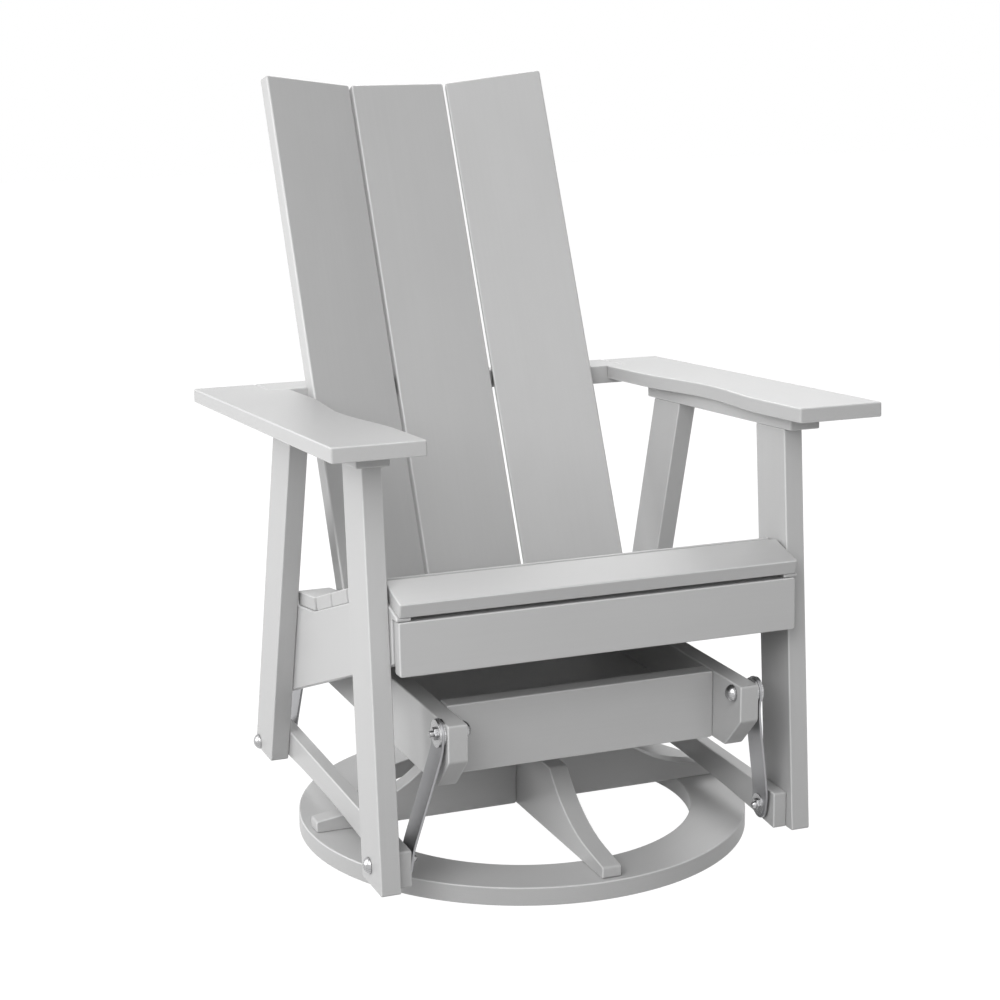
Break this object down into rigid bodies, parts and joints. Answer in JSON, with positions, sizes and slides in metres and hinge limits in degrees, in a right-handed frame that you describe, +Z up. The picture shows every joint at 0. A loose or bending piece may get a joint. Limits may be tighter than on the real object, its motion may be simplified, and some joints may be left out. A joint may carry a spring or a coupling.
{
  "type": "swivel glider chair",
  "caption": "Swivel glider chair of plastic lumber: fan back and slatted seat hung on steel links from a box that turns above a cross on a flat ring.",
  "frame": {"origin": "middle of the whole outline, on the floor under the base ring", "axes": "+Z up; the sitter faces -Y; +X to the right as seen from the front"},
  "size_m": [0.745, 0.838, 1.0344],
  "materials": {
    "lumber": "satin pale grey plastic lumber with softly rounded edges",
    "stainless": "stainless fasteners",
    "swivel_steel": "plain steel plates of the swivel",
    "strap": "dull grey bent straps",
    "bearing": "bearing plastic"
  },
  "bodies": {
    "base": {"base_ring": "lumber", "cross_front_back": "lumber", "cross_left_right": "lumber", "foot_screw_front": "stainless", "foot_screw_left": "stainless", "foot_screw_rear": "stainless", "foot_screw_right": "stainless", "swivel_lower_plate": "swivel_steel"},
    "glider_box": {"glider_front_board": "lumber", "glider_rear_board": "lumber", "glider_side_board_left": "lumber", "glider_side_board_right": "lumber", "swivel_panel": "lumber", "swivel_thrust_ring": "bearing", "swivel_upper_plate": "swivel_steel", "upper_pivot_bolt_front_left": "stainless", "upper_pivot_bolt_front_right": "stainless", "upper_pivot_bolt_rear_left": "stainless", "upper_pivot_bolt_rear_right": "stainless", "upper_pivot_nut_front_left": "stainless", "upper_pivot_nut_front_right": "stainless", "upper_pivot_nut_rear_left": "stainless", "upper_pivot_nut_rear_right": "stainless"},
    "front_links": {"front_link_left": "strap", "front_link_right": "strap"},
    "rear_links": {"rear_link_left": "strap", "rear_link_right": "strap"},
    "chair": {"apron": "lumber", "arm_left": "lumber", "arm_right": "lumber", "arm_support_left": "lumber", "arm_support_right": "lumber", "back_brace_lower": "lumber", "back_brace_upper": "lumber", "back_slat_left": "lumber", "back_slat_middle": "lumber", "back_slat_right": "lumber", "front_leg_left": "lumber", "front_leg_right": "lumber", "rear_leg_left": "lumber", "rear_leg_right": "lumber", "nose_slat": "lumber", "seat_slat_1": "lumber", "seat_slat_2": "lumber", "seat_slat_3": "lumber", "seat_slat_4": "lumber", "seat_slat_rear": "lumber", "seat_rail_left": "lumber", "seat_rail_right": "lumber", "stretcher_left": "lumber", "stretcher_right": "lumber", "lower_pivot_bolt_front_left": "stainless", "lower_pivot_bolt_front_right": "stainless", "lower_pivot_bolt_rear_left": "stainless", "lower_pivot_bolt_rear_right": "stainless", "lower_pivot_cap_nut_front_left": "stainless", "lower_pivot_cap_nut_front_right": "stainless", "lower_pivot_cap_nut_rear_left": "stainless", "lower_pivot_cap_nut_rear_right": "stainless"}
  },
  "joints": [
    {"name": "swivel", "type": "hinge", "parent": "base", "child": "glider_box", "pos_m": [0, -0.09049, 0.12], "axis": [0, 0, 1], "continuous": true},
    {"name": "glide", "type": "hinge", "parent": "glider_box", "child": "front_links", "pos_m": [0, -0.36399, 0.2425], "axis": [1, 0, 0], "range_deg": [-12, 12]},
    {"name": "chair_hang", "type": "hinge", "parent": "front_links", "child": "chair", "pos_m": [0, -0.32699, 0.0643], "axis": [1, 0, 0], "range_deg": [-13.3, 13.3]},
    {"name": "rear_swing", "type": "hinge", "parent": "glider_box", "child": "rear_links", "pos_m": [0, 0.21501, 0.2425], "axis": [1, 0, 0], "range_deg": [-11.8, 11.8]}
  ],
  "couplings": [
    {"joint": "chair_hang", "follows": "glide", "ratio": -1.1043},
    {"joint": "rear_swing", "follows": "glide", "ratio": 0.98226}
  ]
}
